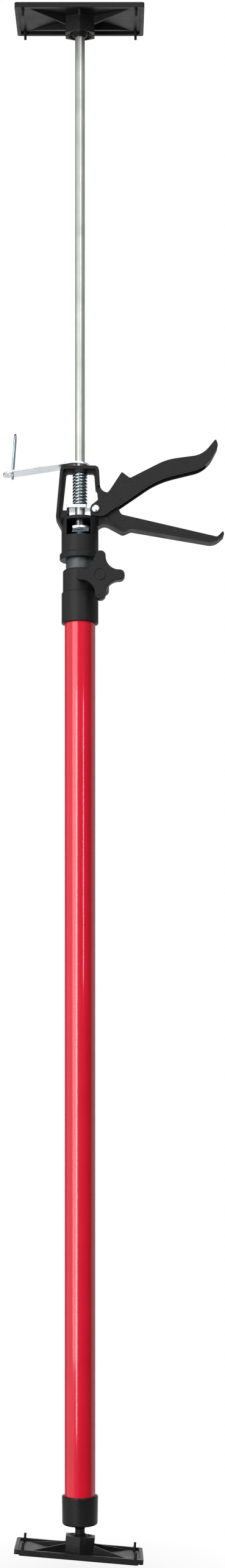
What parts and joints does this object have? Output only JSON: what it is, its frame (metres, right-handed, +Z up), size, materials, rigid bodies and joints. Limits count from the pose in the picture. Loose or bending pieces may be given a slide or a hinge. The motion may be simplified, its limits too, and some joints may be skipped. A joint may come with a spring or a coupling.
{
  "type": "drywall support prop",
  "caption": "Telescopic support prop with tilting end pads on ball joints, a clamped tube for coarse height, and a hand-pumped rod with trigger, drive plate and release lever for the final lift.",
  "frame": {"origin": "where the pole axis meets the underside of the foot pad", "axes": "+Z up along the pole, +X towards the trigger and handle, -Y towards the clamp knob and the viewer"},
  "size_m": [0.2278, 0.0748, 1.6036],
  "materials": {
    "red_paint": "glossy red enamel",
    "dark_tube": "dark grey satin tube",
    "plated_steel": "bright zinc plating",
    "black_plastic": "finely grained black moulding",
    "black_rubber": "matte black rubber"
  },
  "bodies": {
    "outer_pole": {"outer_tube": "red_paint", "end_cap": "black_plastic", "clamp_collar": "black_plastic", "clamp_nut": "plated_steel"},
    "foot_swivel": {"foot_ball_stud": "black_plastic"},
    "foot": {"foot_plate": "black_plastic", "foot_rubber_pad": "black_rubber"},
    "clamp_screw": {"star_knob": "black_plastic", "clamp_bolt": "plated_steel", "clamp_washer": "plated_steel"},
    "inner_pole": {"inner_tube": "dark_tube", "inner_tube_glide": "black_plastic", "pump_body": "black_plastic", "trigger_pivot_pin": "plated_steel", "main_spring": "plated_steel", "lock_spring": "plated_steel"},
    "push_rod": {"push_rod": "plated_steel", "rod_end_guide": "black_plastic"},
    "head_swivel": {"head_ball": "black_plastic"},
    "head": {"head_plate": "black_plastic", "head_rubber_pad": "black_rubber"},
    "trigger": {"trigger": "black_plastic"},
    "drive_plate": {"drive_plate": "plated_steel"},
    "lock_plate": {"lock_plate": "plated_steel"},
    "release_lever": {"release_lever": "plated_steel", "release_wire_loop": "plated_steel"}
  },
  "joints": [
    {"name": "foot_turn", "type": "hinge", "parent": "outer_pole", "child": "foot_swivel", "pos_m": [0, 0, 0.01428], "axis": [0, 0, 1], "continuous": true},
    {"name": "foot_tilt", "type": "hinge", "parent": "foot_swivel", "child": "foot", "pos_m": [0, 0, 0.01428], "axis": [-0.5592, 0.829, 0], "range_deg": [-25.9, 14.1]},
    {"name": "clamp_knob_turn", "type": "hinge", "parent": "outer_pole", "child": "clamp_screw", "pos_m": [0.0214, 0, 1.00628], "axis": [0, 1, 0], "continuous": true},
    {"name": "tube_slide", "type": "slide", "parent": "outer_pole", "child": "inner_pole", "axis": [0, 0, 1], "range_m": [-0.008, 0.82]},
    {"name": "rod_slide", "type": "slide", "parent": "inner_pole", "child": "push_rod", "axis": [0, 0, 1], "range_m": [-0.39, 0.44]},
    {"name": "head_turn", "type": "hinge", "parent": "push_rod", "child": "head_swivel", "pos_m": [0, 0, 1.57928], "axis": [0, 0, 1], "continuous": true},
    {"name": "head_tilt", "type": "hinge", "parent": "head_swivel", "child": "head", "pos_m": [0, 0, 1.57928], "axis": [1, 0, 0], "range_deg": [-26.2, 13.8]},
    {"name": "trigger_squeeze", "type": "hinge", "parent": "inner_pole", "child": "trigger", "pos_m": [0.0164, 0, 1.08048], "axis": [0, 1, 0], "range_deg": [0, 32], "stiffness_Nm_per_rad": 0.6, "springref_deg": -14.32},
    {"name": "drive_plate_lift", "type": "slide", "parent": "inner_pole", "child": "drive_plate", "axis": [0, 0, 1], "range_m": [0, 0.003], "deforming": ["main_spring"]},
    {"name": "lock_plate_tilt", "type": "hinge", "parent": "inner_pole", "child": "lock_plate", "pos_m": [0, 0.0115, 1.06163], "axis": [-1, 0, 0], "range_deg": [0, 6], "stiffness_Nm_per_rad": 0.05, "springref_deg": -11.46, "deforming": ["lock_spring"]},
    {"name": "release_lever_lift", "type": "hinge", "parent": "inner_pole", "child": "release_lever", "pos_m": [0.0098, 0, 1.12588], "axis": [0, 1, 0], "range_deg": [0, 8]}
  ],
  "couplings": [
    {"joint": "drive_plate_lift", "follows": "trigger_squeeze", "m_per_rad": 0.0052}
  ]
}
